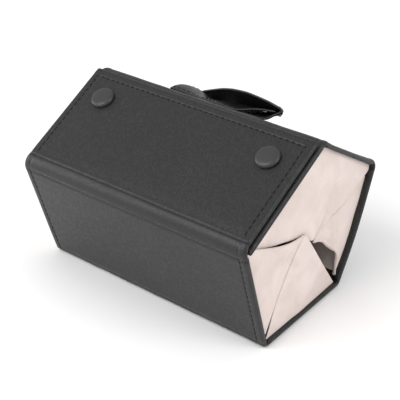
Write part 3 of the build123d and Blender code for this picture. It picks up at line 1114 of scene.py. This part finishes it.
@dataclass
class CarryStrap:
    """One leather band, folded over at its left end, tacked there and bowed up into a loop.

    Each knot gives the front edge and the back edge of the band over the top panel: place along
    the case, place across it towards the flap, height. A seventh number is how much the height
    bows between the edges, where it isn't even.
    """

    section: Section
    width: float = 22.0
    half_thickness: float = 0.7
    seam_inset: float = 2.0
    over: tuple = (                  # from the root over the loop to its nose
        (-43.0, -14.0, 4.2, -42.0, -31.0, 0.9), (-37.5, -12.0, 6.8, -37.0, -29.0, 1.6),
        (-31.2, -8.0, 8.2, -31.0, -26.0, 2.6), (-23.4, -3.0, 9.8, -24.0, -21.0, 3.9),
        (-16.0, 2.0, 11.1, -17.0, -17.5, 5.0), (-9.0, 6.0, 12.0, -10.0, -14.5, 5.6),
        (-2.6, 9.0, 12.6, -4.0, -12.5, 6.1), (8.5, 11.0, 13.1, 3.0, -11.0, 7.1),
        (22.5, 11.0, 12.1, 12.0, -11.0, 7.9), (30.3, 11.0, 10.9, 18.0, -11.0, 8.6),
        (34.6, 11.0, 9.9, 22.3, -11.0, 9.1), (35.9, 11.0, 8.9, 23.6, -11.0, 8.4),
    )
    under: tuple = (                 # from the nose back under the loop, down to the fold at the root
        (34.8, 11.0, 7.6, 22.4, -11.0, 7.0), (31.4, 11.0, 5.0, 17.0, -11.0, 6.2),
        (27.2, 11.0, 1.6, 9.0, -11.0, 5.3), (21.0, 11.0, 0.6, 0.0, -11.0, 4.3),
        (12.0, 10.5, 0.5, -8.0, -11.0, 3.0), (0.0, 9.0, 0.5, -16.0, -11.0, 1.6),
        (-14.0, 8.0, 0.5, -25.0, -11.0, 0.7), (-28.0, 8.0, 0.5, -33.0, -11.0, 0.6),
        (-40.0, 8.5, 0.5, -40.0, -11.0, 0.7), (-44.8, 10.0, 0.5, -44.5, -11.0, 0.8),
    )
    root: tuple = (                  # from the fold over the root, and along the loop to its nose
        (-46.8, 11.0, 0.8, -50.0, -11.0, 3.2, 2.2), (-45.8, 11.3, 1.0, -48.5, -11.0, 5.8, 3.0),
        (-41.0, 11.5, 0.8, -42.5, -11.0, 6.2, 3.2), (-34.0, 11.5, 0.8, -36.0, -11.0, 5.0, 3.0),
        (-24.0, 11.5, 0.8, -26.0, -11.0, 2.6, 2.2), (-16.0, 11.5, 0.8, -19.0, -11.0, 3.2, 2.0),
        (-6.0, 11.5, 0.8, -10.0, -11.0, 5.1, 1.6), (4.0, 11.3, 0.9, -2.0, -11.0, 6.1, 1.3),
        (9.3, 11.0, 2.3, 2.5, -11.0, 6.4, 1.2), (15.0, 11.0, 4.2, 9.0, -11.0, 6.9),
        (22.0, 11.0, 6.0, 15.0, -11.0, 7.4), (31.5, 11.0, 7.4, 21.6, -11.0, 7.9),
    )
    steps: tuple = (0, 0.06, 0.2, 0.45, 0.8, 1.3, 1.75, 2.0, 2.25, 2.9, 4.2, 6.4, 9.0)

    def surface(self) -> tuple[np.ndarray, np.ndarray, np.ndarray]:
        """Middle surface, unit normals, and each column's distance from the nearer edge."""
        a, b = self.section.corners["A"], self.section.corners["B"]
        way = (a - b) / np.linalg.norm(a - b)
        origin, up = (a + b) / 2 + right_of(way) * HALF_PANEL, right_of(way)
        route = [(*knot, 1.0)[:7] for knot in self.over + self.under + self.root]
        line = smooth_path(route, KNOT_ROWS * (len(route) - 1) + 1)
        far = np.array(list(self.steps) + [self.width - s for s in reversed(self.steps)])
        share = far / self.width
        front, back, bow = line[:, None, :3], line[:, None, 3:6], line[:, None, 6]
        spot = front * (1 - share[None, :, None]) + back * share[None, :, None]
        across = spot[..., 1]
        high = front[..., 2] + (back[..., 2] - front[..., 2]) * (1 - (1 - share[None]) ** bow)
        y, z = (origin[k] + way[k] * across + up[k] * high for k in (0, 1))
        grid = np.stack([spot[..., 0], y, z], axis=-1)
        normal = np.cross(np.gradient(grid, axis=0), np.gradient(grid, axis=1))
        normal /= np.linalg.norm(normal, axis=-1, keepdims=True)
        return grid, normal, np.minimum(far, self.width - far)

    def settle(self, piece: bpy.types.Object) -> None:
        """Bakes a piece's placement into its mesh; it goes on no body."""
        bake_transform(piece)

    def build(self, seams: Seamstress) -> None:
        """The band and its seams."""
        grid, normal, edge_distance = self.surface()
        ends = np.minimum(np.arange(len(grid)), np.arange(len(grid))[::-1]) * 0.9
        edge = rounding(edge_distance, self.half_thickness)[None]
        edge = edge * rounding(ends + 0.04, self.half_thickness)[:, None]
        thick = self.half_thickness * edge * (1 - 0.3 * ridge(edge_distance, self.seam_inset, 0.3))[None]
        raised = normal * thick[..., None]
        nodes = ("strap_end", "strap_loop")
        strap = make_slab("carry_strap", grid + raised, grid - raised, Finish.STRAP_LEATHER, "", nodes)
        self.settle(strap)
        column = self.steps.index(self.seam_inset)
        lines = []
        for sign in (1, -1):
            raised = grid + normal * sign * self.half_thickness * 0.72
            lines += [raised[4:-4, column], raised[4:-4, -1 - column]]
        tack = KNOT_ROWS * 26
        for row in (tack + 2, tack + 5, tack + 8):
            lines.append((grid + normal * self.half_thickness * 1.05)[row, 8:-8])
        self.settle(seams.sew("strap_edge_seams", lines))


# ---- stage


@dataclass
class Studio:
    """A pale floor, soft lights and the camera."""

    azimuth: float = 38.233
    elevation: float = 30.803
    distance: float = 0.63797
    aim: tuple = (0.000923, 0.004299, 0.048118)
    lens: float = 92.742
    floor_half_size: float = 4.0     # m
    floor_height: float = -0.0002    # m

    def floor(self) -> None:
        """A wide pale floor of matt paint."""
        made = Shading("matt_white_floor")
        mottle = made.noise(3.0, 2.0)
        tone = made.ramp(mottle, linear("#f6f6f6"), linear("#fafafa"), 0.3, 0.7)
        material = made.done(Base_Color=tone, Roughness=0.9, Specular_IOR_Level=0.1)
        mesh = bpy.data.meshes.new("floor")
        size, low = self.floor_half_size, self.floor_height
        corners = [(-size, -size, low), (size, -size, low), (size, size, low), (-size, size, low)]
        mesh.from_pydata(corners, [], [(0, 1, 2, 3)])
        mesh.materials.append(material)
        floor = bpy.data.objects.new("floor", mesh)
        bpy.context.scene.collection.objects.link(floor)

    @staticmethod
    def point_at(name: str, data: bpy.types.ID, place: Vector, way: Vector) -> bpy.types.Object:
        """An object for a light or camera, at a place and looking along a vector."""
        made = bpy.data.objects.new(name, data)
        made.location = place
        made.rotation_euler = way.to_track_quat("-Z", "Y").to_euler()
        bpy.context.scene.collection.objects.link(made)
        return made

    def light(self, name: str, place: tuple, size: float, power: float) -> None:
        """A square soft light that faces the box."""
        data = bpy.data.lights.new(name, "AREA")
        data.size, data.energy = size, power
        self.point_at(name, data, Vector(place), Vector(self.aim) - Vector(place))

    def camera(self) -> None:
        """The camera, at its azimuth and elevation round the aim point."""
        az, el = math.radians(self.azimuth), math.radians(self.elevation)
        back = Vector((math.sin(az) * math.cos(el), -math.cos(az) * math.cos(el), math.sin(el)))
        data = bpy.data.cameras.new("camera")
        data.lens, data.sensor_width = self.lens, 36.0
        data.clip_start, data.clip_end = 0.01, 20.0
        place = Vector(self.aim) + back * self.distance
        bpy.context.scene.camera = self.point_at("camera", data, place, -back)

    def build(self) -> None:
        """Everything round the box."""
        scene = bpy.context.scene
        scene.view_settings.view_transform = "Standard"
        world = bpy.data.worlds.new("studio")
        scene.world = world
        world.use_nodes = True
        sky = world.node_tree.nodes["Background"].inputs
        sky["Color"].default_value, sky["Strength"].default_value = (1, 1, 1, 1), 0.75
        self.floor()
        self.light("key", (-0.45, -1.15, 1.45), 1.0, 14.0)
        self.light("left", (-1.4, -0.9, 0.5), 0.9, 8.0)
        self.light("right", (1.35, 0.1, 1.2), 0.8, 9.0)
        self.camera()


# ---- the rest of the frame


def dress_nodes() -> None:
    """Gives every CAD node that stays in view its finish."""
    slots = {part["node"]: part["material_slot"] for part in frame["record"]["subparts"]}
    for name, node in frame["nodes"].items():
        node.data.materials.clear()
        node.data.materials.append(material_of(Finish(slots[name])))
    log.info("dressed %d nodes", len(frame["nodes"]))


def main() -> None:
    """Builds the box in order: cover, compartments, snaps, strap, seams and stage."""
    logging.basicConfig(level=logging.INFO, format="%(name)s: %(message)s")
    section = Section.from_frame()
    dress_nodes()
    cover = LeatherCover(section)
    cover.build()
    Compartments(section).build()
    SnapCaps(section).build()
    seams = Seamstress()
    for body, lines in cover.seam_lines().items():
        seams.sew(f"{body}_edge_seams", lines, body)
    CarryStrap(section).build(seams)
    Studio().build()


if __name__ == "__main__":
    main()
